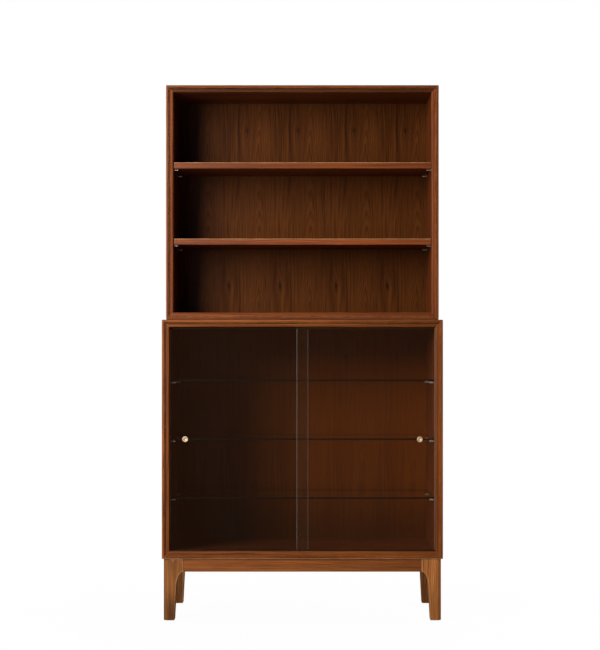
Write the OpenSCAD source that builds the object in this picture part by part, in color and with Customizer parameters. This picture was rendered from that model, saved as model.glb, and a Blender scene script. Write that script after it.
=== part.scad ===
// Two-piece bookcase: an open shelf unit standing on a cabinet with sliding glass doors,
// which stands on its own four-legged base.
// Origin: centre of the footprint, on the floor. +X to the right, -Y to the front, +Z up.

/* [Case] */
// Width of both units
case_w = 900; // [700:10:1100]
// Thickness of the case boards
board_t = 24; // [22:1:28]
// Radius of the cases' long outer corners
case_r = 3; // [1:0.5:4]

/* [Upper unit] */
// Height of the open shelf unit
upper_h = 774; // [740:2:900]
// Depth of the open shelf unit
upper_d = 245; // [220:5:300]
// Thickness of the wooden shelves
shelf_t = 20; // [16:1:22]
// How far the wooden shelves stand back from the front
shelf_setback = 8; // [5:1:20]
// Rows of shelf-pin holes in the upper sides
upper_rows = 13; // [10:1:14]
// Height of the lowest pin row above the unit's underside
upper_row_z = 209; // [180:1:220]
// Spacing of the upper pin rows
upper_pitch = 36; // [32:1:38]
// Pin rows, counted from 0, that carry the wooden shelves
upper_shelf_rows = [1, 8];

/* [Lower cabinet] */
// Height of the cabinet
lower_h = 766; // [740:2:860]
// Depth of the cabinet
lower_d = 400; // [360:5:450]
// Thickness of the glass shelves
glass_shelf_t = 6; // [5:1:8]
// Depth of the glass shelves
glass_shelf_d = 302; // [270:1:305]
// Rows of shelf-pin holes in the cabinet sides
lower_rows = 13; // [12:1:14]
// Height of the lowest pin row above the cabinet's underside
lower_row_z = 145; // [120:1:150]
// Spacing of the cabinet's pin rows
lower_pitch = 38; // [34:1:40]
// Pin rows, counted from 0, that carry the glass shelves
glass_shelf_rows = [1, 6, 11];

/* [Sliding doors] */
// Thickness of the door glass
door_t = 5; // [4:0.5:6]
// Clear space between the two panes
door_gap = 5; // [4.5:0.5:6]
// Width by which the closed doors overlap
door_overlap = 36; // [20:2:60]
// Diameter of the round finger pulls
pull_d = 18; // [16:1:24]
// Distance of a pull's centre from its door's outer edge
pull_inset = 48; // [30:1:60]
// Height of the pulls above the cabinet's underside
pull_z = 382; // [300:1:450]

/* [Base] */
// Height of the base
base_h = 198; // [180:2:230]
// How far the base stands in from the cabinet's faces
base_inset = 5; // [4:1:20]
// Width of a leg at its top
leg_top = 63; // [60:1:70]
// Width of a leg just below its curved knee
leg_knee = 40; // [36:1:44]
// Width of a leg at the floor
leg_foot = 35; // [30:1:38]
// Radius of a leg's outer corner
leg_r = 15; // [6:1:18]
// Height of the rails between the legs
apron_h = 41.4; // [36:0.2:50]
// Thickness of the rails
apron_t = 20; // [18:1:22]

/* [Hidden] */

// Planes that the pieces share
front_y = -lower_d / 2;
rear_y = lower_d / 2;
upper_front_y = rear_y - upper_d;
lower_z0 = base_h;
lower_z1 = base_h + lower_h;
spacer_t = 4;
upper_z0 = lower_z1 + spacer_t;
upper_z1 = upper_z0 + upper_h;
inner_x = case_w / 2 - board_t;
lower_in0 = lower_z0 + board_t;
lower_in1 = lower_z1 - board_t;

// Moulded solid-wood lipping on the front edge of every case board
lip_d = 12;
lip_proud = 8;
lip_quirk_w = 1.5;
lip_quirk_d = 3;
lip_bead_d = 1;
lip_bevel = 4.5;
lip_recess = 5;
lip_bead_x = lip_proud + lip_quirk_w;
lip_arris = 2.5;
lip_step_r = 1;
lip_inner_r = 4.5;
shelf_lip_d = 8;
shelf_arris = 2.5;
shelf_under_r = 1;

// Back boards stand in rebates, clear of the rear face
back_t = 6;
back_recess = 8;
back_fit = 0.5;
rebate_w = 10;
rebate_d = back_t + back_recess;

// Splines across the mitred case corners
spline_t = 3;
spline_w = 14;
spline_groove_w = 15;
spline_front = 8;
spline_rear = 22;

// Wood screws with countersunk slotted heads
screw_d = 3;
screw_head_d = 6;
screw_head_h = 1.6;
screw_l = 16;
back_screw_in = 5;
back_screw_end = 60;
slot_w = 0.9;
slot_depth = 0.7;

// Shelf pins: a peg in the hole and a thicker sleeve under the shelf
pin_d = 5;
pin_hole_depth = 11;
pin_peg = 10;
sleeve_d = 6;
sleeve_l = 14;
upper_pin_front = 32;
upper_pin_rear = 35;
lower_pin_front = 74;
lower_pin_rear = 140;
pad_t = 2;
pad_w = 5;
pad_l = 10;
shelf_end_gap = 2;
glass_end_gap = 1.5;
shelf_back_gap = 2;
glass_shelf_front = 48;
upper_columns = [upper_front_y + upper_pin_front, rear_y - upper_pin_rear];
lower_columns = [front_y + lower_pin_front, rear_y - lower_pin_rear];
wood_shelf_z = [for (r = upper_shelf_rows)
                upper_z0 + upper_row_z + r * upper_pitch + sleeve_d / 2];
glass_shelf_z = [for (r = glass_shelf_rows)
                 lower_z0 + lower_row_z + r * lower_pitch + sleeve_d / 2 + pad_t];

// Loose wooden dowels that locate the upper unit, each through a felt spacer
unit_dowel_d = 8;
unit_dowel_in = 12;
unit_dowel_side = 50;
unit_dowel_front = 45;
unit_dowel_rear = 40;
spacer_d = 30;

// Twin-channel door tracks, let into the top and bottom boards
track_play = 0.5;
track_wall = 2;
track_base = 2;
door_front_y = front_y + 16;
door_pitch = door_t + door_gap;
track_y0 = door_front_y - track_play - track_wall;
track_d = door_pitch + door_t + 2 * track_play + 2 * track_wall;
top_track_in = 12;
top_fin_drop = 6;
bottom_track_in = 4;
bottom_track_rise = 3;
track_end_gap = 0.5;
door_foot_gap = 0.2;
door_z0 = lower_in0 - bottom_track_in + track_base + door_foot_gap;
door_top_grip = 4;
door_z1 = lower_in1 + door_top_grip;
door_side_gap = 1;
door_w = inner_x - door_side_gap + door_overlap / 2;

// Finger pull: a flanged cup through the glass and a ring that holds it from behind
cup_d = pull_d - 4;
cup_flange_t = 1.4;
cup_depth = 4.6;
cup_floor_t = 1.2;
ring_t = 1.2;
glass_hole_fit = 0.4;

// Base
apron_recess = 1.5;
apron_z0 = base_h - apron_h;
knee_drop = 58;
knee_z = apron_z0 - knee_drop;
glide_t = 1;
glide_d = 22;
glide_stem_d = 6;
glide_stem_l = 12;
leg_x = case_w / 2 - base_inset;
leg_y = lower_d / 2 - base_inset;
apron_end_x = leg_x - leg_top;
apron_end_y = leg_y - leg_top;
apron_x = leg_x - apron_recess;
apron_y = leg_y - apron_recess;
apron_dowel_d = 8;
apron_dowel_l = 30;
apron_dowel_low = 12;
apron_dowel_high = 29;
cleat_w = 20;
cleat_end = 48;
cleat_x = apron_end_x - cleat_end;
cleat_y = apron_y - apron_t;
cleat_screw_x = 0.8 * cleat_x;
apron_screw_x = 0.4 * cleat_x;
cleat_screw_d = 4;
cleat_screw_head_d = 8;
cleat_screw_head_h = 2.4;
cleat_screw_l = 32;

// Drawing aids
cut = 1;
arc_steps = 8;
knee_steps = 28;
fine = 64;
wood = "#8a4a22";
edge_wood = "#a3602f";
leg_wood = "#9a6232";
veneer = "#6f3c1e";
inner_wood = "#c9a878";
brass = "#d8c493";
steel = "#9a9a98";
glass_tint = [0.42, 0.36, 0.30, 0.45];
clear_tint = [0.75, 0.85, 0.80, 0.45];

// Points of an arc about (cx, cy) from angle a0 to a1
function arc(cx, cy, rx, ry, a0, a1, n) =
    [for (i = [0 : n]) let (a = a0 + (a1 - a0) * i / n) [cx + rx * cos(a), cy + ry * sin(a)]];

// Outline of a case seen from the front, with rounded outer corners
function case_outline(z0, z1) =
    concat(arc(case_w / 2 - case_r, z1 - case_r, case_r, case_r, 0, 90, arc_steps),
           arc(-case_w / 2 + case_r, z1 - case_r, case_r, case_r, 90, 180, arc_steps),
           arc(-case_w / 2 + case_r, z0 + case_r, case_r, case_r, 180, 270, arc_steps),
           arc(case_w / 2 - case_r, z0 + case_r, case_r, case_r, 270, 360, arc_steps));

// Mitred face of one board of a case, seen from the front
function mitred_face(side, z0, z1) =
    let (x = case_w / 2, t = board_t)
    side == "left" ? [[-x, z0], [-x + t, z0 + t], [-x + t, z1 - t], [-x, z1]] :
    side == "right" ? [[x, z0], [x - t, z0 + t], [x - t, z1 - t], [x, z1]] :
    side == "top" ? [[-x, z1], [x, z1], [x - t, z1 - t], [-x + t, z1 - t]] :
    [[-x, z0], [x, z0], [x - t, z0 + t], [-x + t, z0 + t]];

// Lipping section: distance in from the case's outer face, distance back from its front
function lipping_section() =
    concat(arc(lip_arris, lip_arris, lip_arris, lip_arris, 180, 270, arc_steps),
           arc(lip_proud - lip_step_r, lip_step_r, lip_step_r, lip_step_r, 270, 360, arc_steps),
           [[lip_proud, lip_quirk_d], [lip_bead_x, lip_quirk_d], [lip_bead_x, lip_bead_d],
            [lip_bead_x + lip_bevel, lip_recess]],
           arc(board_t - lip_inner_r, lip_recess + lip_inner_r, lip_inner_r, lip_inner_r,
               270, 360, arc_steps),
           [[board_t, lip_d], [0, lip_d]]);

// Leg profile: distance in from the outer face, height. The knee is a quarter ellipse.
function leg_profile() =
    concat([[0, glide_t], [leg_foot, glide_t]],
           arc(leg_top, knee_z, leg_top - leg_knee, knee_drop, 180, 90, knee_steps),
           [[leg_top, base_h], [0, base_h]]);

// Extrudes an X-Z outline from y0 back to y1
module along_y(y0, y1) {
    translate([0, y1, 0])
        rotate([90, 0, 0])
            linear_extrude(y1 - y0)
                children();
}

// Extrudes a Y-Z outline from x0 to x1
module along_x(x0, x1) {
    translate([x0, 0, 0])
        rotate([90, 0, 90])
            linear_extrude(x1 - x0)
                children();
}

module block(x0, x1, y0, y1, z0, z1) {
    translate([x0, y0, z0])
        cube([x1 - x0, y1 - y0, z1 - z0]);
}

module mitred_board(side, z0, z1, y0, y1) {
    along_y(y0, y1)
        intersection() {
            polygon(case_outline(z0, z1));
            polygon(mitred_face(side, z0, z1));
        }
}

// Lipping section swept the length of one board, before its ends are mitred
module lipping_bar(side, z0, z1, y0) {
    s = lipping_section();
    x = case_w / 2;
    if (side == "left")
        translate([0, 0, z0])
            linear_extrude(z1 - z0)
                polygon([for (p = s) [p[0] - x, p[1] + y0]]);
    else if (side == "right")
        translate([0, 0, z0])
            linear_extrude(z1 - z0)
                polygon([for (p = s) [x - p[0], p[1] + y0]]);
    else if (side == "top")
        along_x(-x, x)
            polygon([for (p = s) [p[1] + y0, z1 - p[0]]]);
    else
        along_x(-x, x)
            polygon([for (p = s) [p[1] + y0, z0 + p[0]]]);
}

module lipping(side, z0, z1, y0) {
    intersection() {
        mitred_board(side, z0, z1, y0, y0 + lip_d);
        lipping_bar(side, z0, z1, y0);
    }
}

module upper_lipping(side) {
    lipping(side, upper_z0, upper_z1, upper_front_y);
}

module lower_lipping(side) {
    lipping(side, lower_z0, lower_z1, front_y);
}

// Countersunk screw pointing along +Z with the top of its head at z = 0
module screw(d, head_d, head_h, length) {
    difference() {
        union() {
            cylinder(h = length, d = d, $fn = fine);
            cylinder(h = head_h, d1 = head_d, d2 = d, $fn = fine);
        }
        translate([-head_d, -slot_w / 2, -cut])
            cube([2 * head_d, slot_w, cut + slot_depth]);
    }
}

// The hole that such a screw fills
module screw_hole(d, head_d, head_h, length) {
    cylinder(h = length, d = d, $fn = fine);
    cylinder(h = head_h, d1 = head_d, d2 = d, $fn = fine);
}

// Runs its child at each back-board screw of a case, pointing forward from the board's rear face
module at_back_screws(z0, z1) {
    edge = board_t - back_screw_in;
    side_x = case_w / 2 - edge;
    end_x = case_w / 2 - back_screw_end;
    for (z = [z0 + back_screw_end, (z0 + z1) / 2, z1 - back_screw_end])
        for (x = [-side_x, side_x])
            translate([x, rear_y - back_recess, z])
                rotate([90, 0, 0])
                    children();
    for (z = [z0 + edge, z1 - edge])
        for (x = [-end_x, 0, end_x])
            translate([x, rear_y - back_recess, z])
                rotate([90, 0, 0])
                    children();
}

module back_screws(z0, z1) {
    at_back_screws(z0, z1)
        screw(screw_d, screw_head_d, screw_head_h, screw_l);
}

module back_screw_holes(z0, z1) {
    at_back_screws(z0, z1)
        screw_hole(screw_d, screw_head_d, screw_head_h, screw_l);
}

module back_rebate(z0, z1) {
    edge = board_t - rebate_w;
    x = case_w / 2 - edge;
    block(-x, x, rear_y - rebate_d, rear_y + cut, z0 + edge, z1 - edge);
}

module back_board(z0, z1) {
    edge = board_t - rebate_w + back_fit;
    x = case_w / 2 - edge;
    difference() {
        block(-x, x, rear_y - rebate_d, rear_y - back_recess, z0 + edge, z1 - edge);
        back_screw_holes(z0, z1);
    }
}

// Runs its child at the centre of each mitre, turned so that X runs across the joint
module at_mitres(z0, z1) {
    x = case_w / 2 - board_t / 2;
    for (c = [[-x, z0 + board_t / 2, 45], [x, z0 + board_t / 2, -45],
              [-x, z1 - board_t / 2, -45], [x, z1 - board_t / 2, 45]])
        translate([c[0], 0, c[1]])
            rotate([0, c[2], 0])
                children();
}

module mitre_splines(z0, z1, y0, width) {
    at_mitres(z0, z1)
        block(-width / 2, width / 2, y0 + lip_d + spline_front, rear_y - spline_rear,
              -spline_t / 2, spline_t / 2);
}

// A case board without its lipping: mitred, rebated, grooved for splines, drilled for screws
module case_board(side, z0, z1, y0) {
    difference() {
        mitred_board(side, z0, z1, y0 + lip_d, rear_y);
        back_rebate(z0, z1);
        back_screw_holes(z0, z1);
        mitre_splines(z0, z1, y0, spline_groove_w);
    }
}

// Pin holes in one side board: side is -1 for left, 1 for right
module pin_holes(side, row_z, rows, pitch, columns) {
    for (y = columns)
        for (row = [0 : rows - 1])
            translate([side * (inner_x + pin_hole_depth), y, row_z + row * pitch])
                rotate([0, -side * 90, 0])
                    cylinder(h = pin_hole_depth + cut, d = pin_d, $fn = fine);
}

// One shelf pin on the left side, pointing into the case, its sleeve starting at the side's face
module shelf_pin() {
    rotate([0, 90, 0]) {
        translate([0, 0, -pin_peg])
            cylinder(h = pin_peg + sleeve_l, d = pin_d, $fn = fine);
        cylinder(h = sleeve_l, d = sleeve_d, $fn = fine);
    }
}

// Runs its child at each pin of the given rows, mirrored for the right side
module at_pins(row_z, pitch, rows, columns) {
    for (row = rows)
        for (y = columns)
            for (m = [0, 1])
                mirror([m, 0, 0])
                    translate([-inner_x, y, row_z + row * pitch])
                        children();
}

// Runs its child at the centre of each dowel between the two units
module at_unit_dowels() {
    for (x = [-case_w / 2 + unit_dowel_side, case_w / 2 - unit_dowel_side])
        for (y = [upper_front_y + unit_dowel_front, rear_y - unit_dowel_rear])
            translate([x, y, lower_z1])
                children();
}

module unit_dowel(d) {
    translate([0, 0, -unit_dowel_in])
        cylinder(h = 2 * unit_dowel_in + spacer_t, d = d, $fn = fine);
}

// Upper unit

module upper_side(name, side) {
    difference() {
        case_board(name, upper_z0, upper_z1, upper_front_y);
        pin_holes(side, upper_z0 + upper_row_z, upper_rows, upper_pitch, upper_columns);
    }
}

module upper_left_side() {
    color(wood)
        upper_side("left", -1);
}

module upper_right_side() {
    color(wood)
        upper_side("right", 1);
}

module upper_top() {
    color(wood)
        case_board("top", upper_z0, upper_z1, upper_front_y);
}

module upper_bottom() {
    color(wood)
        difference() {
            case_board("bottom", upper_z0, upper_z1, upper_front_y);
            at_unit_dowels()
                unit_dowel(unit_dowel_d);
        }
}

module upper_left_lipping() {
    color(edge_wood)
        upper_lipping("left");
}

module upper_right_lipping() {
    color(edge_wood)
        upper_lipping("right");
}

module upper_top_lipping() {
    color(edge_wood)
        upper_lipping("top");
}

module upper_bottom_lipping() {
    color(edge_wood)
        upper_lipping("bottom");
}

module upper_back() {
    color(veneer)
        back_board(upper_z0, upper_z1);
}

module upper_back_screws() {
    color(steel)
        back_screws(upper_z0, upper_z1);
}

module upper_mitre_splines() {
    color(inner_wood)
        mitre_splines(upper_z0, upper_z1, upper_front_y, spline_w);
}

module wood_shelf(z) {
    x = inner_x - shelf_end_gap;
    y0 = upper_front_y + shelf_setback + shelf_lip_d;
    block(-x, x, y0, rear_y - rebate_d - shelf_back_gap, z, z + shelf_t);
}

module wood_shelf_lipping(z) {
    x = inner_x - shelf_end_gap;
    y0 = upper_front_y + shelf_setback;
    y1 = y0 + shelf_lip_d;
    along_x(-x, x)
        polygon(concat(arc(y0 + shelf_arris, z + shelf_t - shelf_arris, shelf_arris, shelf_arris,
                           90, 180, arc_steps),
                       arc(y0 + shelf_under_r, z + shelf_under_r, shelf_under_r, shelf_under_r,
                           180, 270, arc_steps),
                       [[y1, z], [y1, z + shelf_t]]));
}

module wood_shelf_low() {
    color(wood)
        wood_shelf(wood_shelf_z[0]);
}

module wood_shelf_high() {
    color(wood)
        wood_shelf(wood_shelf_z[1]);
}

module wood_shelf_low_lipping() {
    color(edge_wood)
        wood_shelf_lipping(wood_shelf_z[0]);
}

module wood_shelf_high_lipping() {
    color(edge_wood)
        wood_shelf_lipping(wood_shelf_z[1]);
}

module wood_shelf_pins() {
    color(steel)
        at_pins(upper_z0 + upper_row_z, upper_pitch, upper_shelf_rows, upper_columns)
            shelf_pin();
}

module unit_dowels() {
    color(inner_wood)
        at_unit_dowels()
            unit_dowel(unit_dowel_d);
}

module unit_spacers() {
    color("dimgray")
        at_unit_dowels()
            difference() {
                cylinder(h = spacer_t, d = spacer_d, $fn = fine);
                translate([0, 0, -cut])
                    cylinder(h = spacer_t + 2 * cut, d = unit_dowel_d, $fn = fine);
            }
}

// Lower cabinet

module lower_side(name, side) {
    difference() {
        case_board(name, lower_z0, lower_z1, front_y);
        pin_holes(side, lower_z0 + lower_row_z, lower_rows, lower_pitch, lower_columns);
    }
}

module lower_left_side() {
    color(wood)
        lower_side("left", -1);
}

module lower_right_side() {
    color(wood)
        lower_side("right", 1);
}

module lower_top() {
    color(wood)
        difference() {
            case_board("top", lower_z0, lower_z1, front_y);
            block(-inner_x, inner_x, track_y0, track_y0 + track_d,
                  lower_in1 - cut, lower_in1 + top_track_in);
            at_unit_dowels()
                unit_dowel(unit_dowel_d);
        }
}

module lower_bottom() {
    color(wood)
        difference() {
            case_board("bottom", lower_z0, lower_z1, front_y);
            block(-inner_x, inner_x, track_y0, track_y0 + track_d,
                  lower_in0 - bottom_track_in, lower_in0 + cut);
            at_cleat_screws()
                cleat_screw_hole();
        }
}

module lower_left_lipping() {
    color(edge_wood)
        lower_lipping("left");
}

module lower_right_lipping() {
    color(edge_wood)
        lower_lipping("right");
}

module lower_top_lipping() {
    color(edge_wood)
        lower_lipping("top");
}

module lower_bottom_lipping() {
    color(edge_wood)
        lower_lipping("bottom");
}

module lower_back() {
    color(veneer)
        back_board(lower_z0, lower_z1);
}

module lower_back_screws() {
    color(steel)
        back_screws(lower_z0, lower_z1);
}

module lower_mitre_splines() {
    color(inner_wood)
        mitre_splines(lower_z0, lower_z1, front_y, spline_w);
}

module glass_shelf(z) {
    x = inner_x - glass_end_gap;
    y0 = front_y + glass_shelf_front;
    color(clear_tint)
        block(-x, x, y0, y0 + glass_shelf_d, z, z + glass_shelf_t);
}

module glass_shelf_low() {
    glass_shelf(glass_shelf_z[0]);
}

module glass_shelf_middle() {
    glass_shelf(glass_shelf_z[1]);
}

module glass_shelf_high() {
    glass_shelf(glass_shelf_z[2]);
}

module glass_shelf_pins() {
    color(steel)
        at_pins(lower_z0 + lower_row_z, lower_pitch, glass_shelf_rows, lower_columns)
            shelf_pin();
}

// Soft pad that sits astride a pin's sleeve and carries the glass
module glass_shelf_pads() {
    pad_x = (sleeve_l - pad_l) / 2;
    color("lightgray")
        at_pins(lower_z0 + lower_row_z, lower_pitch, glass_shelf_rows, lower_columns)
            difference() {
                block(pad_x, pad_x + pad_l, -pad_w / 2, pad_w / 2, 0, sleeve_d / 2 + pad_t);
                rotate([0, 90, 0])
                    cylinder(h = sleeve_l, d = sleeve_d, $fn = fine);
            }
}

// Doors and their tracks

// Track section with its two channels open upwards: base at z = 0, walls and fin to their heights
module track(base_z, wall_z, fin_z) {
    x = inner_x - track_end_gap;
    fin_y = track_y0 + track_wall + 2 * track_play + door_t;
    fin_w = door_gap - 2 * track_play;
    block(-x, x, track_y0, track_y0 + track_d, min(base_z), max(base_z));
    block(-x, x, track_y0, track_y0 + track_wall, min(wall_z), max(wall_z));
    block(-x, x, track_y0 + track_d - track_wall, track_y0 + track_d, min(wall_z), max(wall_z));
    block(-x, x, fin_y, fin_y + fin_w, min(fin_z), max(fin_z));
}

module top_track() {
    ceiling = lower_in1 + top_track_in;
    color("saddlebrown")
        track([ceiling - track_base, ceiling], [lower_in1, ceiling],
              [lower_in1 - top_fin_drop, ceiling]);
}

module bottom_track() {
    floor_z = lower_in0 - bottom_track_in;
    rim_z = lower_in0 + bottom_track_rise;
    color("saddlebrown")
        track([floor_z, floor_z + track_base], [floor_z, rim_z], [floor_z, rim_z]);
}

// Doors: side is -1 for the left door, which runs behind, and 1 for the right door in front
function door_y(side) = door_front_y + (side < 0 ? door_pitch : 0);
function pull_x(side) = side * (inner_x - door_side_gap - pull_inset);

module at_pull(side) {
    translate([pull_x(side), door_y(side), lower_z0 + pull_z])
        rotate([-90, 0, 0])
            children();
}

module door_glass(side) {
    outer = side * (inner_x - door_side_gap);
    inner = outer - side * door_w;
    color(glass_tint)
        difference() {
            block(min(outer, inner), max(outer, inner), door_y(side), door_y(side) + door_t,
                  door_z0, door_z1);
            at_pull(side)
                translate([0, 0, -cut])
                    cylinder(h = door_t + 2 * cut, d = cup_d + glass_hole_fit, $fn = fine);
        }
}

module left_door_glass() {
    door_glass(-1);
}

module right_door_glass() {
    door_glass(1);
}

// Cup seen in section: flange in front of the glass, dished floor, barrel through the glass
module pull_cup() {
    r = pull_d / 2;
    bore = cup_d / 2;
    lip = cup_flange_t / 2;
    rim = bore - cup_floor_t;
    rear = door_t + ring_t;
    rotate_extrude($fn = fine)
        polygon(concat([[0, rear], [0, rear - cup_floor_t]],
                       arc(0, -lip, rim, cup_depth + lip, 80, 10, arc_steps),
                       [[rim, -lip], [rim + lip, -cup_flange_t]],
                       arc(r - lip, -lip, lip, lip, 270, 360, arc_steps),
                       [[r, 0], [bore, 0], [bore, rear]]));
}

module door_pull(side) {
    color(brass)
        at_pull(side)
            pull_cup();
}

module left_door_pull() {
    door_pull(-1);
}

module right_door_pull() {
    door_pull(1);
}

module pull_ring(side) {
    color(brass)
        at_pull(side)
            translate([0, 0, door_t])
                difference() {
                    cylinder(h = ring_t, d = pull_d, $fn = fine);
                    translate([0, 0, -cut])
                        cylinder(h = ring_t + 2 * cut, d = cup_d, $fn = fine);
                }
}

module left_pull_ring() {
    pull_ring(-1);
}

module right_pull_ring() {
    pull_ring(1);
}

// Base

// Plan of a leg at its widest, with its outer corner rounded
function leg_plan() =
    concat(arc(leg_r, leg_r, leg_r, leg_r, 180, 270, arc_steps),
           [[leg_top, 0], [leg_top, leg_top], [0, leg_top]]);

// A leg whose outer corner stands at the local origin, growing along +X and +Y
module leg_blank() {
    intersection() {
        along_y(0, leg_top)
            polygon(leg_profile());
        along_x(0, leg_top)
            polygon(leg_profile());
        linear_extrude(base_h)
            polygon(leg_plan());
    }
}

// Runs its child in a leg's own frame: mx and my are 1 to mirror to the right and to the rear
module at_leg(mx, my) {
    mirror([mx, 0, 0])
        mirror([0, my, 0])
            translate([-leg_x, -leg_y, 0])
                children();
}

// Dowels of the two rails that meet one leg, in the leg's frame
module leg_dowels() {
    across = apron_recess + apron_t / 2;
    for (z = [apron_z0 + apron_dowel_low, apron_z0 + apron_dowel_high]) {
        translate([leg_top - apron_dowel_l / 2, across, z])
            rotate([0, 90, 0])
                cylinder(h = apron_dowel_l, d = apron_dowel_d, $fn = fine);
        translate([across, leg_top - apron_dowel_l / 2, z])
            rotate([-90, 0, 0])
                cylinder(h = apron_dowel_l, d = apron_dowel_d, $fn = fine);
    }
}

module foot_glide() {
    cylinder(h = glide_t, d = glide_d, $fn = fine);
    cylinder(h = glide_t + glide_stem_l, d = glide_stem_d, $fn = fine);
}

module leg(mx, my) {
    color(leg_wood)
        at_leg(mx, my)
            difference() {
                leg_blank();
                leg_dowels();
                translate([leg_foot / 2, leg_foot / 2, 0])
                    foot_glide();
            }
}

module front_left_leg() {
    leg(0, 0);
}

module front_right_leg() {
    leg(1, 0);
}

module rear_left_leg() {
    leg(0, 1);
}

module rear_right_leg() {
    leg(1, 1);
}

module all_leg_dowels() {
    for (mx = [0, 1])
        for (my = [0, 1])
            at_leg(mx, my)
                leg_dowels();
}

module apron_dowels() {
    color(inner_wood)
        all_leg_dowels();
}

module long_apron() {
    difference() {
        block(-apron_end_x, apron_end_x, -apron_y, -apron_y + apron_t, apron_z0, base_h);
        all_leg_dowels();
        at_apron_screws()
            cleat_screw_hole();
    }
}

module short_apron() {
    difference() {
        block(-apron_x, -apron_x + apron_t, -apron_end_y, apron_end_y, apron_z0, base_h);
        all_leg_dowels();
    }
}

module front_apron() {
    color(leg_wood)
        long_apron();
}

module rear_apron() {
    color(leg_wood)
        mirror([0, 1, 0])
            long_apron();
}

module left_apron() {
    color(leg_wood)
        short_apron();
}

module right_apron() {
    color(leg_wood)
        mirror([1, 0, 0])
            short_apron();
}

// Cleats behind the long rails, screwed to the rails and up into the cabinet's bottom
module cleat_screw() {
    screw(cleat_screw_d, cleat_screw_head_d, cleat_screw_head_h, cleat_screw_l);
}

module cleat_screw_hole() {
    screw_hole(cleat_screw_d, cleat_screw_head_d, cleat_screw_head_h, cleat_screw_l);
}

module at_cleat_screws() {
    for (x = [-cleat_screw_x, 0, cleat_screw_x])
        for (y = [-cleat_y + cleat_w / 2, cleat_y - cleat_w / 2])
            translate([x, y, base_h - cleat_w])
                children();
}

module at_apron_screws() {
    for (x = [-apron_screw_x, apron_screw_x])
        for (m = [0, 1])
            mirror([0, m, 0])
                translate([x, -cleat_y + cleat_w, base_h - cleat_w / 2])
                    rotate([90, 0, 0])
                        children();
}

module cleat() {
    difference() {
        block(-cleat_x, cleat_x, -cleat_y, -cleat_y + cleat_w, base_h - cleat_w, base_h);
        at_cleat_screws()
            cleat_screw_hole();
        at_apron_screws()
            cleat_screw_hole();
    }
}

module front_cleat() {
    color(inner_wood)
        cleat();
}

module rear_cleat() {
    color(inner_wood)
        mirror([0, 1, 0])
            cleat();
}

module cleat_screws() {
    color(steel)
        at_cleat_screws()
            cleat_screw();
}

module apron_screws() {
    color(steel)
        at_apron_screws()
            cleat_screw();
}

module foot_glides() {
    color("white")
        for (mx = [0, 1])
            for (my = [0, 1])
                at_leg(mx, my)
                    translate([leg_foot / 2, leg_foot / 2, 0])
                        foot_glide();
}

upper_left_side();
upper_right_side();
upper_top();
upper_bottom();
upper_left_lipping();
upper_right_lipping();
upper_top_lipping();
upper_bottom_lipping();
upper_back();
upper_back_screws();
upper_mitre_splines();
wood_shelf_low();
wood_shelf_high();
wood_shelf_low_lipping();
wood_shelf_high_lipping();
wood_shelf_pins();
unit_dowels();
unit_spacers();
lower_left_side();
lower_right_side();
lower_top();
lower_bottom();
lower_left_lipping();
lower_right_lipping();
lower_top_lipping();
lower_bottom_lipping();
lower_back();
lower_back_screws();
lower_mitre_splines();
glass_shelf_low();
glass_shelf_middle();
glass_shelf_high();
glass_shelf_pins();
glass_shelf_pads();
top_track();
bottom_track();
left_door_glass();
right_door_glass();
left_door_pull();
right_door_pull();
left_pull_ring();
right_pull_ring();
front_left_leg();
front_right_leg();
rear_left_leg();
rear_right_leg();
front_apron();
rear_apron();
left_apron();
right_apron();
apron_dowels();
front_cleat();
rear_cleat();
cleat_screws();
apron_screws();
foot_glides();
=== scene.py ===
"""Looks of the two-piece bookcase: its woods, glass and metal, a pale floor, soft light and the camera."""

import math
import zlib

import bpy
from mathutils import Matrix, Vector


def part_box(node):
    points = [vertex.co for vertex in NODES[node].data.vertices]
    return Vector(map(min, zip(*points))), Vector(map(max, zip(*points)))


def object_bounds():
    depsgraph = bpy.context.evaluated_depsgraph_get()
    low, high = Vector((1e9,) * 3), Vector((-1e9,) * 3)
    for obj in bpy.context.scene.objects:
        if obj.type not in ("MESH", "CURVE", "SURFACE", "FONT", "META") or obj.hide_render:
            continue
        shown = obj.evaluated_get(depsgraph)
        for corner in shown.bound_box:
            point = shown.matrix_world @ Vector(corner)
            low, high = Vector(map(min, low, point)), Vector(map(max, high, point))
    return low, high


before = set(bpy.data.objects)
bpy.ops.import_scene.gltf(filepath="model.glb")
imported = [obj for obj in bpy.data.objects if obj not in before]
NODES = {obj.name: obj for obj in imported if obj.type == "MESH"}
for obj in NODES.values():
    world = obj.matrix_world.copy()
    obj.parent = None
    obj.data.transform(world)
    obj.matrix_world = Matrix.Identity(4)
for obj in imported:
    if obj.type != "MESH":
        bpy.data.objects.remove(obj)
cad_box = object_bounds()
GLASS_SHELVES = ["glass_shelf_low", "glass_shelf_middle", "glass_shelf_high"]

scene = bpy.context.scene
scene.view_settings.view_transform = "Standard"
# A look through the doors and the shelves crosses many panes
scene.cycles.transparent_max_bounces = 32


def has(word):
    """The nodes that have the word in their name."""
    return [n for n in NODES if word in n]


def assign(name, material):
    """Gives a node this material and no other."""
    NODES[name].data.materials.clear()
    NODES[name].data.materials.append(material)


# --- Shader building -------------------------------------------------------


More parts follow.
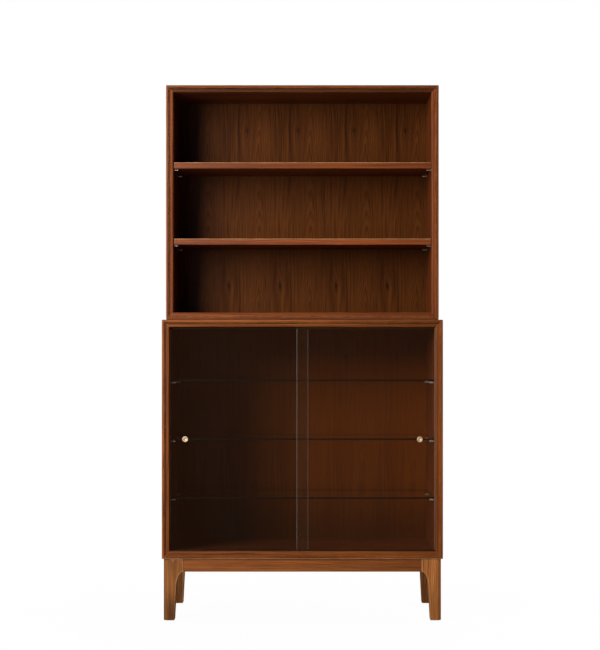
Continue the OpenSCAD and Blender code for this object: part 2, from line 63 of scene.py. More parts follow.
class Nodes:
    """A node tree that is put together one call at a time."""

    def __init__(self, tree):
        self.tree = tree
        self.tree.nodes.clear()

    def add(self, kind, inputs=None, **settings):
        n = self.tree.nodes.new(kind)
        for key, value in settings.items():
            setattr(n, key, value)
        for key, value in (inputs or {}).items():
            self.put(n.inputs[key], value)
        return n

    def put(self, socket, value):
        """Links a socket to another, or sets its value. One number fills a vector or a colour."""
        if isinstance(value, bpy.types.NodeSocket):
            self.tree.links.new(value, socket)
        elif hasattr(socket.default_value, "__len__") and not hasattr(value, "__len__"):
            socket.default_value = [value] * len(socket.default_value)
        elif socket.type == "RGBA" and len(value) == 3:
            socket.default_value = (*value, 1.0)
        else:
            socket.default_value = value

    def math(self, op, a, b=0.0):
        return self.add("ShaderNodeMath", {0: a, 1: b}, operation=op).outputs[0]

    def plus(self, a, b):
        return self.math("ADD", a, b)

    def minus(self, a, b):
        return self.math("SUBTRACT", a, b)

    def times(self, a, b):
        return self.math("MULTIPLY", a, b)

    def most(self, a, b):
        return self.math("MAXIMUM", a, b)

    def sway(self, value, noise, reach):
        """Moves the value by up to half the reach either way, as the noise says."""
        return self.plus(value, self.times(self.minus(noise, 0.5), reach))

    def vec(self, op, a, b=(0.0, 0.0, 0.0)):
        n = self.add("ShaderNodeVectorMath", {0: a, 1: b}, operation=op)
        return n.outputs["Value" if op in ("DOT_PRODUCT", "LENGTH") else "Vector"]

    def shade(self, color, amount):
        """Leaves only that amount of the colour."""
        return self.vec("MULTIPLY", color, amount)

    def split(self, vector):
        n = self.add("ShaderNodeSeparateXYZ", {0: vector})
        return n.outputs[0], n.outputs[1], n.outputs[2]

    def join(self, x, y, z):
        return self.add("ShaderNodeCombineXYZ", {0: x, 1: y, 2: z}).outputs[0]

    def noise(self, place, scale=1.0, detail=2.0, rough=0.5, warp=0.0):
        inputs = {"Vector": place, "Scale": scale, "Detail": detail, "Roughness": rough, "Distortion": warp}
        return self.add("ShaderNodeTexNoise", inputs).outputs["Fac"]

    def streaks(self, place, per_metre, detail=2.0, rough=0.5):
        """Noise with its own number of features per metre along each axis."""
        return self.noise(self.vec("MULTIPLY", place, per_metre), 1.0, detail, rough)

    def step(self, value, low, high, out_low=0.0, out_high=1.0):
        """Runs smoothly from out_low to out_high as the value goes from low to high."""
        inputs = dict(enumerate((value, low, high, out_low, out_high)))
        return self.add("ShaderNodeMapRange", inputs, interpolation_type="SMOOTHSTEP").outputs[0]

    def ramp(self, fac, *stops):
        n = self.add("ShaderNodeValToRGB", {0: fac})
        marks = n.color_ramp.elements
        while len(marks) < len(stops):
            marks.new(0.5)
        for mark, (at, color) in zip(marks, stops):
            mark.position = at
            mark.color = (*color, 1.0)
        return n.outputs[0]

    def mix(self, fac, a, b, how="MIX"):
        """Mixes two colours, which a Mix node takes at sockets 6 and 7 and gives at output 2."""
        return self.add("ShaderNodeMix", {0: fac, 6: a, 7: b}, data_type="RGBA", blend_type=how).outputs[2]

    def mix_shader(self, fac, a, b):
        return self.add("ShaderNodeMixShader", {0: fac, 1: a, 2: b}).outputs[0]

    def light_path(self, ray):
        return self.add("ShaderNodeLightPath").outputs[ray]

    def emission(self, color):
        return self.add("ShaderNodeEmission", {"Color": color, "Strength": 1.0}).outputs[0]


class Shader(Nodes):
    """A material. Its place is where each point lies in the shared frame, in metres."""

    def __init__(self, name):
        self.mat = bpy.data.materials.new(name)
        self.mat.use_nodes = True
        super().__init__(self.mat.node_tree)
        self.place = self.add("ShaderNodeTexCoord").outputs["Object"]

    def bump(self, height, strength, distance):
        inputs = {"Height": height, "Strength": strength, "Distance": distance}
        return self.add("ShaderNodeBump", inputs).outputs[0]

    def geometry(self, name):
        return self.add("ShaderNodeNewGeometry").outputs[name]

    def edges(self, radius):
        """1 where the surface turns within the radius, 0 on open faces."""
        soft = self.add("ShaderNodeBevel", {"Radius": radius}, samples=6).outputs[0]
        return self.step(self.vec("DOT_PRODUCT", soft, self.geometry("Normal")), 0.995, 0.86)

    def principled(self, **inputs):
        inputs = {k.replace("_", " "): v for k, v in inputs.items()}
        return self.add("ShaderNodeBsdfPrincipled", inputs).outputs[0]

    def done(self, surface):
        self.add("ShaderNodeOutputMaterial", {"Surface": surface})
        return self.mat


# --- Woods: colours and finish ---------------------------------------------

GLOSS = 0.20
SATIN = 0.14
DULL = 0.08

# Painted pale on arrises: rubbed wood, and also a painted highlight where arrises catch the light
PALE_WEAR_AND_HIGHLIGHT = (0.620, 0.360, 0.170)
# Painted shadow: the dark line of the shaded gap between the two units, on the upper unit's bottom lipping
GAP_SHADOW_PAINT = (0.020, 0.005, 0.001)
PORE = (0.030, 0.010, 0.004)
KNOT = (0.018, 0.006, 0.002)
KNOT_HALO = (0.050, 0.015, 0.004)

CASE_BOARD = dict(dark=(0.070, 0.016, 0.004), mid=(0.155, 0.040, 0.010), light=(0.235, 0.066, 0.018),
                  ring=0.006, heart=(0.10, 0.02), worn_and_highlit=False)
SHELF_BOARD = dict(dark=(0.080, 0.018, 0.004), mid=(0.170, 0.044, 0.011), light=(0.250, 0.072, 0.020),
                   ring=0.006, heart=(0.08, 0.02), worn_and_highlit=False)
UPPER_EDGE = dict(dark=(0.110, 0.024, 0.004), mid=(0.208, 0.054, 0.0095), light=(0.310, 0.086, 0.018))
SHELF_EDGE = dict(dark=(0.115, 0.024, 0.003), mid=(0.210, 0.049, 0.0075), light=(0.310, 0.080, 0.014))
LOWER_EDGE = dict(dark=(0.145, 0.034, 0.004), mid=(0.262, 0.073, 0.0110), light=(0.380, 0.116, 0.021))
RAIL = dict(dark=(0.125, 0.034, 0.006), mid=(0.235, 0.074, 0.0150), light=(0.340, 0.112, 0.026))
# The legs are one wood: the left ones are painted darker as painted shade and the right ones paler as painted
# light; foot darkens each towards the floor as painted shade
LEFT_LEG_PAINTED_SHADE = dict(dark=(0.138, 0.048, 0.010), mid=(0.248, 0.095, 0.022), light=(0.350, 0.146, 0.039), foot=0.58)
RIGHT_LEG_PAINTED_LIGHT = dict(dark=(0.240, 0.082, 0.020), mid=(0.410, 0.155, 0.042), light=(0.530, 0.230, 0.070), foot=0.85)
BARE = dict(dark=(0.34, 0.20, 0.10), mid=(0.46, 0.30, 0.16), light=(0.56, 0.40, 0.24), rough=0.6)

# The low shelf's lipping is painted paler than the high one's by this factor, as painted light
LOW_SHELF_PAINTED_LIGHT = 1.25

# For each lipping: how strongly its round outer arris is painted pale for rubbed wood and a painted highlight,
# or dark as a painted shadow if negative, and how much colour its inner bead keeps under painted shade. A
# unit's own entry serves its sides.
ARRISES = {"upper": (0.35, 0.98), "upper_top": (0.35, 0.38), "upper_bottom": (-0.9, 0.98),
           "lower": (0.35, 0.80), "lower_top": (0.15, 0.80), "lower_bottom": (1.0, 0.76)}
SHELF_ARRIS = (0.9, 1.0)

# Where a lipping's outer arris ends and its inner bead begins, in metres in from the case's outer face
ARRIS_ENDS = (0.0028, 0.0012)
BEAD_BEGINS = (0.0085, 0.0105)

# Heights between which painted shade darkens the legs towards the floor, and the cabinet's back towards its
# bottom
FOOT_PAINTED_SHADE_HEIGHTS = (0.03, 0.15)
SHADED = (0.22, 0.46)

# How far in from the cabinet's side a leg's arrises begin to be painted paler, for rubbed wood and a painted
# highlight
KNEE_IN = 0.022

# --- Woods: figure ---------------------------------------------------------

# Features per metre, twice across the grain and then along it
FIBRES = (520, 520, 9)
PORES = (1300, 1300, 26)
TONES = (9, 9, 2.2)
HEART_DRIFT = (3, 3, 0.9)
HEART_DRIFT_B = (5, 5, 1.4)
RING_WOBBLE = (60, 60, 3)
FINE_STREAKS = (110, 110, 2.0)


def seed_of(name):
    """A repeatable offset in metres that gives each board its own piece of the log."""
    n = zlib.crc32(name.encode())
    return tuple((n >> shift & 255) / 255 * 7.0 for shift in (0, 8, 16))


def along_grain(s, seed, grain):
    """The place on the board, moved by its seed and turned so that the grain runs along Z."""
    x, y, z = s.split(s.vec("ADD", s.place, seed))
    order = {"X": (y, z, x), "Y": (z, x, y), "Z": (x, y, z)}[grain]
    return s.join(*order)


def wood_detail(s, p, color, rough, strength=1.0):
    """Adds what every wood has: fine fibres, open pores and a slow change of tone.

    Returns the colour, the roughness and the normal."""
    fibre = s.streaks(p, FIBRES, 3, 0.6)
    pore = s.step(s.streaks(p, PORES), 0.60, 0.72)
    tone = s.streaks(p, TONES)
    fibre_tint = s.ramp(fibre, (0.30, (0.30, 0.27, 0.25)), (0.70, (0.76, 0.74, 0.72)))
    tone_tint = s.ramp(tone, (0.30, (0.36, 0.34, 0.33)), (0.70, (0.62, 0.60, 0.60)))
    color = s.mix(0.5 * strength, color, fibre_tint, "OVERLAY")
    color = s.mix(s.times(pore, 0.55 * strength), color, PORE)
    color = s.mix(0.55 * strength, color, tone_tint, "OVERLAY")
    relief = s.minus(s.times(fibre, 0.35), pore)
    grit = s.plus(s.times(fibre, 0.10), rough - 0.05)
    grit = s.plus(grit, s.times(pore, 0.18))
    return color, grit, s.bump(relief, 0.35, 0.00025)


def ring_figure(s, p, ring, heart):
    """How dark the wood's own figure is: rings that far apart round a heart that wanders slowly."""
    a, b, _ = s.split(p)
    a = s.minus(s.sway(a, s.streaks(p, HEART_DRIFT), 0.055), heart[0])
    b = s.minus(s.sway(b, s.streaks(p, HEART_DRIFT_B), 0.040), heart[1])
    rings = s.math("DIVIDE", s.vec("LENGTH", s.join(a, b, 0.0)), ring)
    rings = s.math("FRACT", s.plus(rings, s.times(s.streaks(p, RING_WOBBLE), 1.6)))
    late = s.times(s.step(rings, 0.35, 0.92), s.step(rings, 1.0, 0.94))
    streak = s.streaks(p, FINE_STREAKS, 3, 0.55)
    return s.plus(s.times(late, 0.38), s.times(streak, 0.85))


def wear_and_highlight_of(s, knee):
    """How far the wood is painted pale, for rubbed wood and a painted highlight: a little at each arris, and
    more at those within knee of the middle.
    """
    arris_mottle = s.noise(s.place, 38, 3, 0.6)
    wear_and_highlight = s.times(s.edges(0.0016), s.step(arris_mottle, 0.38, 0.62, 0.15, 0.75))
    if knee:
        inside = s.math("LESS_THAN", s.math("ABSOLUTE", s.split(s.place)[0]), knee)
        knee_wear_and_highlight = s.times(s.edges(0.0075), s.times(inside, s.step(arris_mottle, 0.30, 0.55, 0.4, 1.0)))
        wear_and_highlight = s.most(wear_and_highlight, knee_wear_and_highlight)
    return wear_and_highlight


def inset_from(s, name, part):
    """How far a place on a lipping is from the outer face of its case or shelf, in metres."""
    low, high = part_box(name)
    axis = 0 if part in ("left", "right") else 2
    outer, sign = (low[axis], 1) if part in ("left", "bottom") else (high[axis], -1)
    return s.times(s.minus(s.split(s.place)[axis], outer), sign)


def lipping_profile(s, color, inset, pale, deep):
    """Colours a moulding across its width: its outer arris, painted pale for rubbed wood and a painted
    highlight when pale is positive, and dark as a painted shadow when it is negative; and its inner bead,
    darkened as painted shade.
    """
    arris_mottle = s.step(s.noise(s.place, 26, 3, 0.6), 0.30, 0.70, 0.5 * abs(pale), abs(pale))
    # The outer arris: pale for rubbed wood and a painted highlight, or dark as a painted shadow when pale is
    # negative
    arris = s.times(s.step(inset, *ARRIS_ENDS), arris_mottle)
    color = s.mix(arris, color, PALE_WEAR_AND_HIGHLIGHT if pale > 0 else GAP_SHADOW_PAINT)
    # Painted shade: the inner bead is darkened as if shaded by the proud outer band
    return s.shade(color, s.step(inset, *BEAD_BEGINS, 1.0, deep))


def solid_wood(node, grain, dark, mid, light, rough=0.42, ring=0.0042, heart=(0.05, 0.03), worn_and_highlit=True,
               shine=SATIN, foot=1.0, knee=0.0, lips=None):
    """Gives a node planed and oiled solid wood.

    foot is how much of the colour is left at the floor, as painted shade. knee is how far from the middle of
    the piece the arrises are painted paler, for rubbed wood and a painted highlight. lips holds which edge of
    its case a lipping is, and its ARRISES values."""
    s = Shader(node + "_wood")
    p = along_grain(s, seed_of(node + "_wood"), grain)
    color = s.ramp(ring_figure(s, p, ring, heart), (0.22, light), (0.46, mid), (0.82, dark))
    color, grit, normal = wood_detail(s, p, color, rough)
    # Arrises painted paler, for rubbed wood and a painted highlight together
    if worn_and_highlit:
        wear_and_highlight = wear_and_highlight_of(s, knee)
        color = s.mix(wear_and_highlight, color, s.mix(0.25, PALE_WEAR_AND_HIGHLIGHT, color))
        grit = s.plus(grit, s.times(wear_and_highlight, 0.08))
    if lips:
        part, pale, deep = lips
        color = lipping_profile(s, color, inset_from(s, node, part), pale, deep)
    # Painted shade: darker towards the floor
    if foot < 1.0:
        color = s.shade(color, s.step(s.split(s.place)[2], *FOOT_PAINTED_SHADE_HEIGHTS, foot, 1.0))
    skin = s.principled(Base_Color=color, Roughness=grit, Normal=normal, Specular_IOR_Level=shine)
    assign(node, s.done(skin))


for unit, edge in (("upper", UPPER_EDGE), ("lower", LOWER_EDGE)):
    for part in ("left_side", "right_side", "top", "bottom"):
        n = f"{unit}_{part}"
        solid_wood(n, "Z" if "side" in part else "X", shine=0.0 if n == "upper_bottom" else SATIN, **CASE_BOARD)
    for part in ("left", "right", "top", "bottom"):
        lips = (part, *ARRISES.get(f"{unit}_{part}", ARRISES[unit]))
        solid_wood(f"{unit}_{part}_lipping", "Z" if part in ("left", "right") else "X", lips=lips, **edge)

for n, paler in (("wood_shelf_low", LOW_SHELF_PAINTED_LIGHT), ("wood_shelf_high", 1.0)):
    solid_wood(n, "X", **SHELF_BOARD)
    # Painted light: the low shelf's lipping colours are made paler
    edge = {tone: [c * paler for c in color] for tone, color in SHELF_EDGE.items()}
    solid_wood(n + "_lipping", "X", rough=0.36, shine=GLOSS, lips=("top", *SHELF_ARRIS), **edge)

knee = cad_box[1].x - KNEE_IN
# Left legs get painted shade and right legs painted light through their palettes
for n in has("_leg"):
    solid_wood(n, "Z", rough=0.38, knee=knee, ring=0.005, **(LEFT_LEG_PAINTED_SHADE if "left" in n else RIGHT_LEG_PAINTED_LIGHT))
for n in has("_apron"):
    solid_wood(n, "X" if n in ("front_apron", "rear_apron") else "Y", **RAIL)
for n in ("front_cleat", "rear_cleat"):
    solid_wood(n, "X", **BARE)
for n in ("apron_dowels", "unit_dowels", "upper_mitre_splines", "lower_mitre_splines"):
    solid_wood(n, "Z", worn_and_highlit=False, **BARE)


# --- Veneers ---------------------------------------------------------------

# Features per metre: across the grain, through the leaf, along the grain
RING_WAVER = (34, 1, 5)
BROAD_BANDS = (30, 1, 1.6)
LINES = (230, 1, 3.4)
RARE_LINES = (80, 1, 3.4)
PLAIN_BANDS = (90, 1, 2)

# Left edges of the leaves, and the two shades of the plain wood on a board's rear face
LEAVES = (-0.467, -0.291, -0.115, 0.078, 0.254)
PLAIN = ((0.150, 0.070, 0.032), (0.255, 0.135, 0.066))

# knots are (place across the leaf, height) pairs; heart is where the flames are, across the leaf
GOLDEN = dict(light=(0.112, 0.0345, 0.0060), mid=(0.073, 0.0210, 0.0031), dark=(0.034, 0.0088, 0.0012),
              knots=((0.100, 1.626), (0.038, 1.090)), heart=0.142, seed=0.0)
# The cabinet's back is darker towards its bottom (foot): a painted shadow of the glass shelves
RUSSET = dict(light=(0.132, 0.0300, 0.0018), mid=(0.112, 0.0246, 0.0014), dark=(0.090, 0.0190, 0.0010),
              knots=((0.071, 0.846), (0.118, 0.406)), heart=0.125, seed=3.7, strength=0.3, foot=0.42)


def knot_marks(s, u, z, knots):
    """How far the knots push the grain aside, and where their dark spots and halos are."""
    bend, spot, halo = 0.0, 0.0, 0.0
    for knot_u, knot_z in knots:
        du = s.minus(u, knot_u)
        d = s.vec("LENGTH", s.join(du, s.times(s.minus(z, knot_z), 0.4), 0.0))
        push = s.times(s.math("DIVIDE", du, s.plus(d, 0.006)), s.step(d, 0.036, 0.0))
        bend = s.plus(bend, s.times(push, -0.008))
        spot = s.most(spot, s.step(d, 0.0062, 0.0012))
        halo = s.most(halo, s.step(d, 0.014, 0.003))
    return bend, spot, halo


def veneer_figure(s, flat, off):
    """How dark a leaf's figure is: flames near its heart, off metres away, and lines beside them."""
    arch = s.math("POWER", s.plus(s.times(off, off), 0.00004), 0.75)
    rings = s.plus(s.split(flat)[2], s.times(arch, 44))
    rings = s.plus(rings, s.times(s.streaks(flat, RING_WAVER, 3, 0.6), 0.16))
    rings = s.math("FRACT", s.times(rings, 15))
    wild = s.step(s.math("ABSOLUTE", off), 0.070, 0.030)
    calm = s.minus(1.0, s.times(wild, 0.55))
    flame = s.times(s.times(s.step(rings, 0.30, 0.80), s.step(rings, 1.0, 0.84)), wild)
    broad = s.streaks(flat, BROAD_BANDS, 3, 0.6)
    line = s.times(s.step(s.streaks(flat, LINES, 4, 0.65), 0.34, 0.66), s.times(calm, 0.44))
    rare = s.step(s.streaks(flat, RARE_LINES), 0.58, 0.70)
    figure = s.plus(s.plus(s.times(flame, 0.20), s.times(broad, 0.26)), line)
    return s.plus(figure, s.times(rare, 0.16))


def veneer(node, light, mid, dark, knots, heart, seed, strength=1.0, foot=1.0):
    """Gives a back board veneer in slip-matched leaves: each repeats the same figure, with the grain upright.

    strength is how strongly the figure shows. foot is how much of the colour is left at the bottom, as painted
    shade."""
    s = Shader(node + "_veneer")
    x, _, z = s.split(s.place)
    u = s.minus(x, LEAVES[0])
    for left, before in zip(LEAVES[1:], LEAVES):
        u = s.minus(u, s.times(s.math("GREATER_THAN", x, left), left - before))
    bend, spot, halo = knot_marks(s, u, z, knots)
    drift = s.noise(s.join(s.times(u, 7), s.plus(s.times(z, 2.2), seed), 0.0))
    ripple = s.noise(s.join(s.times(u, 26), s.plus(s.times(z, 9), seed), 2.0))
    v = s.sway(s.sway(s.plus(u, bend), drift, 0.050), ripple, 0.007)
    flat = s.join(v, seed, z)
    figure = veneer_figure(s, flat, s.minus(v, heart))
    color = s.ramp(figure, (0.20, light), (0.43, mid), (0.70, dark))
    color = s.mix(s.times(halo, 0.30 * strength), color, KNOT_HALO)
    color = s.mix(s.times(spot, 0.80 * strength), color, KNOT)
    color, grit, normal = wood_detail(s, flat, color, 0.46, strength)
    # Painted shade: darker towards the bottom
    if foot < 1.0:
        color = s.shade(color, s.step(z, *SHADED, foot, 1.0))
    behind = s.step(s.split(s.geometry("Normal"))[1], 0.4, 0.6)
    plain = s.ramp(s.streaks(s.place, PLAIN_BANDS, 3, 0.6), (0.3, PLAIN[0]), (0.7, PLAIN[1]))
    color = s.mix(behind, color, plain)
    grit = s.plus(grit, s.times(behind, 0.22))
    skin = s.principled(Base_Color=color, Roughness=grit, Normal=normal, Specular_IOR_Level=0.05)
    assign(node, s.done(skin))


veneer("upper_back", **GOLDEN)
veneer("lower_back", **RUSSET)


# --- Metal, plastic, felt and rubber ---------------------------------------

POLISH_LINES = (2200, 2200, 300)


def tints(color, darker, paler):
    """The colour made darker and paler by two factors."""
    return [c * darker for c in color], [min(1, c * paler) for c in color]


def metal(name, color, rough, metallic=1.0):
    """Metal with cloudy scratches; a little less than fully metallic where it is dulled."""
    s = Shader(name)
    cloud = s.noise(s.place, 90, 3, 0.6)
    dark, pale = tints(color, 0.80, 1.08)
    grit = s.plus(s.times(cloud, 0.12), rough - 0.06)
    normal = s.bump(s.streaks(s.place, POLISH_LINES), 0.08, 0.0001)
    return s.done(s.principled(Base_Color=s.ramp(cloud, (0.3, dark), (0.7, pale)), Metallic=metallic,
                               Roughness=grit, Normal=normal))


def matte(name, color, rough, per_metre, depth, sheen=0.0, shine=0.4):
    """A matt surface with that many specks per metre, that deep in metres."""
    s = Shader(name)
    speck = s.noise(s.place, per_metre, 3, 0.65)
    cloud = s.noise(s.place, per_metre / 30)
    speckle = s.ramp(speck, (0.3, (0.3, 0.3, 0.3)), (0.7, (0.7, 0.7, 0.7)))
    tint = s.mix(0.35, s.mix(cloud, *tints(color, 0.8, 1.2)), speckle, "OVERLAY")
    grit = s.plus(s.times(speck, 0.12), rough - 0.06)
    return s.done(s.principled(Base_Color=tint, Roughness=grit, Normal=s.bump(speck, 0.5, depth),
                               Sheen_Weight=sheen, Specular_IOR_Level=shine))


assign("wood_shelf_pins", metal("grey_steel", (0.62, 0.61, 0.58), 0.34))
assign("glass_shelf_pins", metal("bright_steel", (0.78, 0.75, 0.70), 0.42))
assign("glass_shelf_pads", matte("clear_rubber", (0.42, 0.41, 0.38), 0.5, 300, 0.00004))
assign("unit_spacers", matte("dark_felt", (0.035, 0.022, 0.016), 0.95, 1600, 0.0004, sheen=0.4))
assign("foot_glides", matte("dark_nylon", (0.05, 0.045, 0.04), 0.5, 600, 0.00004))
for word, material in (
    ("screws", metal("screw_steel", (0.42, 0.40, 0.37), 0.40)),
    ("_pull", metal("pale_brass", (0.85, 0.71, 0.50), 0.42, metallic=0.6)),
    ("_track", matte("brown_track", (0.030, 0.013, 0.007), 0.62, 500, 0.00005, shine=DULL)),
):
    for n in has(word):
        assign(n, material)


# --- Glass -----------------------------------------------------------------

GLASS_IOR = 1.62
HAZE = (0.75, 0.78, 0.76)
SMEAR = 0.001
DOOR_EDGE = (0.50, 0.49, 0.45)
SHELF_GLASS_EDGE = (0.004, 0.004, 0.003)


def pane(name, thin_axis, edge, tint, shine=0.5):
    """A plate of glass. Light passes straight through its two large faces, and the near one mirrors for
    both. Its cut edges are cloudy."""
    s = Shader(name)
    wipe = s.noise(s.vec("MULTIPLY", s.place, (7, 7, 3)), 1, 4, 0.65, 1.2)
    clean = s.add("ShaderNodeBsdfTransparent", {"Color": tint}).outputs[0]
    gloss_rough = s.step(wipe, 0.35, 0.75, 0.012, 0.022)
    gloss = s.add("ShaderNodeBsdfGlossy", {"Color": (1, 1, 1), "Roughness": gloss_rough}).outputs[0]
    fresnel = s.add("ShaderNodeFresnel", {"IOR": GLASS_IOR}).outputs[0]
    face = s.mix_shader(s.times(fresnel, s.minus(1.0, s.geometry("Backfacing"))), clean, gloss)
    haze = s.add("ShaderNodeBsdfDiffuse", {"Color": HAZE}).outputs[0]
    face = s.mix_shader(s.times(s.step(wipe, 0.3, 0.8), SMEAR), face, haze)
    cut_tint = s.ramp(s.noise(s.place, 22), (0.3, [c * 0.75 for c in edge]), (0.7, edge))
    cut = s.principled(Base_Color=cut_tint, Roughness=0.35, IOR=1.5, Alpha=0.85, Specular_IOR_Level=shine)
    facing = s.math("ABSOLUTE", s.split(s.geometry("True Normal"))["XYZ".index(thin_axis)])
    return s.done(s.mix_shader(s.step(facing, 0.90, 0.97), cut, face))


assign("right_door_glass", pane("door_glass", "Y", DOOR_EDGE, (0.965, 0.965, 0.955)))
# The left pane is tinted darker than the right one though both doors have the same glass: a painted shade on
# what shows through it
assign("left_door_glass", pane("shaded_door_glass", "Y", DOOR_EDGE, (0.865, 0.895, 0.905)))
shelf_glass = pane("shelf_glass", "Z", SHELF_GLASS_EDGE, (0.93, 0.95, 0.92), shine=0.05)
for n in GLASS_SHELVES:
    assign(n, shelf_glass)


# --- Crisp or eased edges --------------------------------------------------

SHARP_ANGLE = math.radians(30)
WELD_DISTANCE = 1e-6
EASE_STEPS = 2

# Width of the eased edges in metres, by the first of these words that a node has in its name
EASED = {"_leg": 0.0012, "_apron": 0.0008, "_cleat": 0.0010, "door_glass": 0.0006, "shelf_pads": 0.0,
         "shelf_pins": 0.0003, "glass_shelf": 0.0005, "_pull": 0.00015, "glides": 0.0005}


def shading_group():
    """Welds a CAD mesh's split faces and shades it smooth, except at its sharp edges."""
    group = bpy.data.node_groups.new("weld_and_shade", "GeometryNodeTree")
    for in_out in ("INPUT", "OUTPUT"):
        group.interface.new_socket("Geometry", in_out=in_out, socket_type="NodeSocketGeometry")
    g = Nodes(group)
    start = g.add("NodeGroupInput").outputs[0]
    drop = g.add("GeometryNodeRemoveAttribute", {0: start, "Name": "custom_normal"}).outputs[0]
    weld = g.add("GeometryNodeMergeByDistance", {0: drop, "Distance": WELD_DISTANCE}).outputs[0]
    smooth = g.add("GeometryNodeSetShadeSmooth", {0: weld}).outputs[0]
    angle = g.add("GeometryNodeInputMeshEdgeAngle").outputs["Unsigned Angle"]
    over = g.add("FunctionNodeCompare", {"A": angle, "B": SHARP_ANGLE}, operation="GREATER_THAN").outputs[0]
    sharp = g.add("GeometryNodeSetShadeSmooth", {0: smooth, "Selection": over, "Shade Smooth": False},
                  domain="EDGE").outputs[0]
    g.add("NodeGroupOutput", {0: sharp})
    return group


def ease(obj, width):
    """Eases an object's edges."""
    bevel = obj.modifiers.new("ease", "BEVEL")
    bevel.width = width
    bevel.segments = EASE_STEPS
    bevel.limit_method = "ANGLE"
    bevel.angle_limit = SHARP_ANGLE
    bevel.use_clamp_overlap = False
    bevel.harden_normals = True


weld_and_shade = shading_group()
for n, obj in NODES.items():
    obj.modifiers.new("shade", "NODES").node_group = weld_and_shade
    width = next((w for word, w in EASED.items() if word in n), 0.0)
    if width:
        ease(obj, width)


# --- Floor and surroundings ------------------------------------------------

# What glossy surfaces see all round, and what lights the rest from all round
ROOM = (0.190, 0.080, 0.040)
DIM = (0.02, 0.02, 0.02)
WHITE = (1, 1, 1)

FLOOR_HALF = 20.0
# Between these distances from the middle, the floor fades into the white surroundings
FLOOR_FADE = (0.5, 1.3)
FLOOR_PALE = ((0.80, 0.80, 0.80), (0.84, 0.84, 0.84))
# What the floor throws back on the piece
FLOOR_BOUNCE = (0.30, 0.29, 0.28)


def floor():
    """A wide pale floor that fades into the white surroundings. In reflections it is as dim as the room."""
    corners = [(x * FLOOR_HALF, y * FLOOR_HALF, 0) for x, y in ((-1, -1), (1, -1), (1, 1), (-1, 1))]
    mesh = bpy.data.meshes.new("floor")
    mesh.from_pydata(corners, [], [(0, 1, 2, 3)])
    obj = bpy.data.objects.new("floor", mesh)
    scene.collection.objects.link(obj)
    s = Shader("floor")
    seen = s.light_path("Is Camera Ray")
    pale = s.ramp(s.noise(s.place, 60, 3, 0.6), (0.3, FLOOR_PALE[0]), (0.7, FLOOR_PALE[1]))
    paint = s.principled(Base_Color=s.mix(seen, FLOOR_BOUNCE, pale), Roughness=0.7)
    far = s.step(s.vec("LENGTH", s.place), *FLOOR_FADE, 0.97, 1.0)
    ground = s.mix_shader(s.times(seen, far), paint, s.emission(WHITE))
    mesh.materials.append(s.done(s.mix_shader(s.light_path("Is Glossy Ray"), ground, s.emission(ROOM))))


def surroundings():
    """White to the camera, as dim as the room to glossy surfaces, and nearly dark to the rest."""
    world = bpy.data.worlds.new("studio")
    scene.world = world
    world.use_nodes = True
    w = Nodes(world.node_tree)
    color = w.mix(w.light_path("Is Glossy Ray"), DIM, ROOM)
    color = w.mix(w.light_path("Is Camera Ray"), color, WHITE)
    sky = w.add("ShaderNodeBackground", {"Color": color}).outputs[0]
    w.add("ShaderNodeOutputWorld", {"Surface": sky})


floor()
surroundings()


# --- Lights ----------------------------------------------------------------

WARM = (1.0, 0.97, 0.93)
AMBER = (1.0, 0.96, 0.92)
CABINET_INSIDE = ["lower_back", "lower_bottom"]
BASE = has("_leg") + has("_apron")


def area(name, place, aim, size, watts, color=WHITE):
    """A soft rectangular light."""
    light = bpy.data.lights.new(name, "AREA")
    light.shape = "RECTANGLE"
    light.size, light.size_y = size
    light.energy = watts
    light.color = color
    obj = bpy.data.objects.new(name, light)
    obj.location = place
    obj.rotation_euler = (Vector(aim) - Vector(place)).to_track_quat("-Z", "Y").to_euler()
    scene.collection.objects.link(obj)
    return obj


def far_light(name, side, height, spread, strength, color):
    """A light far off in front, side degrees round to the left, height degrees up and spread degrees wide."""
    light = bpy.data.lights.new(name, "SUN")
    light.angle = math.radians(spread)
    light.energy = strength
    light.color = color
    obj = bpy.data.objects.new(name, light)
    side, height = math.radians(side), math.radians(height)
    ray = Vector((math.sin(side) * math.cos(height), math.cos(side) * math.cos(height), -math.sin(height)))
    obj.rotation_euler = ray.to_track_quat("-Z", "Y").to_euler()
    scene.collection.objects.link(obj)
    return obj


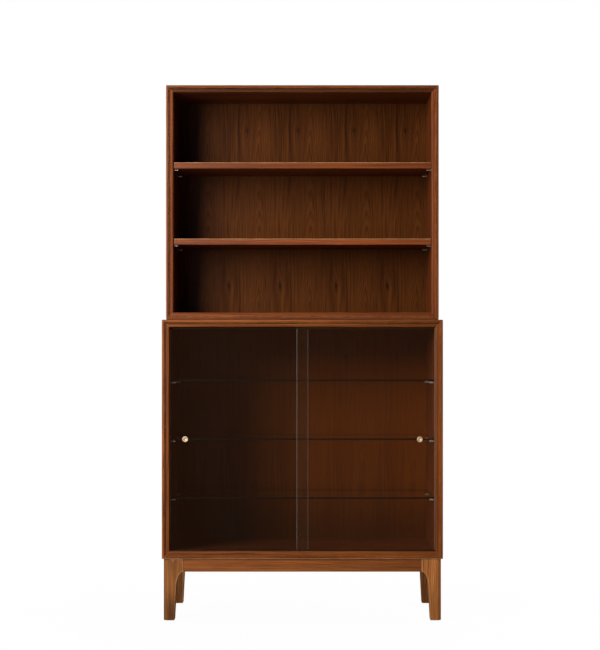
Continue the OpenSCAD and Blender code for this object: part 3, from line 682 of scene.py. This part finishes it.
def only(light, state, names, blocking=False):
    """Limits a light to the named nodes with state INCLUDE, or keeps it off them with EXCLUDE.

    With blocking, it says instead which nodes cast shadows in the light."""
    group = bpy.data.collections.new(light.name + "_" + state.lower())
    for n in names:
        group.objects.link(NODES[n])
    if blocking:
        light.light_linking.blocker_collection = group
    else:
        light.light_linking.receiver_collection = group
    for item in group.collection_objects:
        item.light_linking.link_state = state


key = area("key", place=(-1.75, -2.3, 1.95), aim=(0, 0, 1.2), size=(1.4, 1.9), watts=102, color=WARM)
only(key, "EXCLUDE", CABINET_INSIDE)

# The card shows only as a sheen on the wood
card = area("card", place=(-1.4, -5.0, 1.2), aim=(-0.3, 0, 1.0), size=(1.0, 2.2), watts=30)
card.visible_diffuse = False
only(card, "EXCLUDE", has("door_glass") + has("_pull"))

# The inside of the cabinet has a light of its own, which comes in past the left side
inner = far_light("inner", side=42, height=19, spread=24, strength=2.6, color=WARM)
only(inner, "INCLUDE", CABINET_INSIDE)
only(inner, "EXCLUDE", GLASS_SHELVES + ["glass_shelf_pads"], blocking=True)

fill = area("fill", place=(-0.4, -4.0, 1.3), aim=(0, 0, 0.9), size=(2.4, 1.6), watts=8, color=WARM)
only(fill, "EXCLUDE", has("door_glass") + ["upper_back"] + CABINET_INSIDE)
base_key = area("base_key", place=(-1.7, -2.9, 0.5), aim=(0, 0, 0.1), size=(1.6, 0.6), watts=20, color=WARM)
only(base_key, "INCLUDE", BASE)
area("right_side", place=(3.2, 0.4, 1.8), aim=(0, 0, 0.9), size=(1.6, 2.4), watts=55, color=AMBER)
area("top", place=(0.0, 0.4, 3.6), aim=(0, 0, 1.0), size=(2.0, 1.6), watts=26)
area("rear", place=(0.8, 3.4, 2.2), aim=(0, 0, 0.9), size=(2.6, 2.2), watts=95)


# --- Camera ----------------------------------------------------------------

EYE = (0.0, -5.2, 0.835)
FOCAL_LENGTH = 86.56
SENSOR_WIDTH = 36.0
SHIFT = (-0.0037, 0.0538)

lens = bpy.data.cameras.new("camera")
lens.lens = FOCAL_LENGTH
lens.sensor_width = SENSOR_WIDTH
lens.shift_x, lens.shift_y = SHIFT
camera = bpy.data.objects.new("camera", lens)
camera.location = EYE
camera.rotation_euler = (math.pi / 2, 0, 0)
scene.collection.objects.link(camera)
scene.camera = camera
